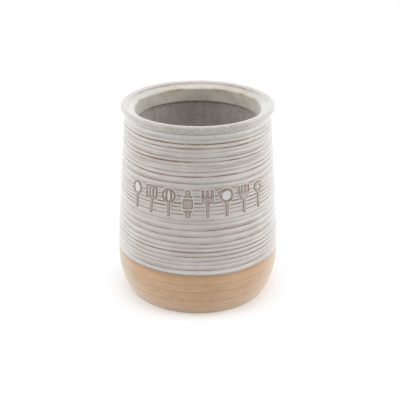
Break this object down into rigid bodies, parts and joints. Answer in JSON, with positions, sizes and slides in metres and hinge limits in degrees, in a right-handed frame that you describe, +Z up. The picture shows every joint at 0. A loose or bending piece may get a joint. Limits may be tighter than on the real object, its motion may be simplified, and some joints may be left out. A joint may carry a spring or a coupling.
{
  "type": "utensil crock",
  "caption": "Round stoneware crock for kitchen utensils, with a bare clay foot, a ribbed glazed wall, a thick rim and raised reliefs of kitchen tools.",
  "frame": {"origin": "middle of the foot, on the surface that the crock stands on", "axes": "+Z up along the crock's axis; the reliefs face -Y"},
  "size_m": [0.1384, 0.1384, 0.167],
  "materials": {
    "stoneware_clay": "matte, fine grog and small iron specks",
    "outer_glaze": "satin gloss, breaking brown on the ribs",
    "liner_glaze": "gloss, with fine specks",
    "relief_glaze": "satin, thin glaze broken to taupe and brown"
  },
  "bodies": {
    "root": {"stoneware_body": "stoneware_clay", "liner_glaze": "liner_glaze", "outer_glaze": "outer_glaze", "spoon_relief": "relief_glaze", "turner_relief": "relief_glaze", "whisk_relief": "relief_glaze", "rolling_pin_relief": "relief_glaze", "fork_relief": "relief_glaze", "ladle_relief": "relief_glaze", "brush_relief": "relief_glaze", "pasta_server_relief": "relief_glaze"}
  },
  "joints": []
}
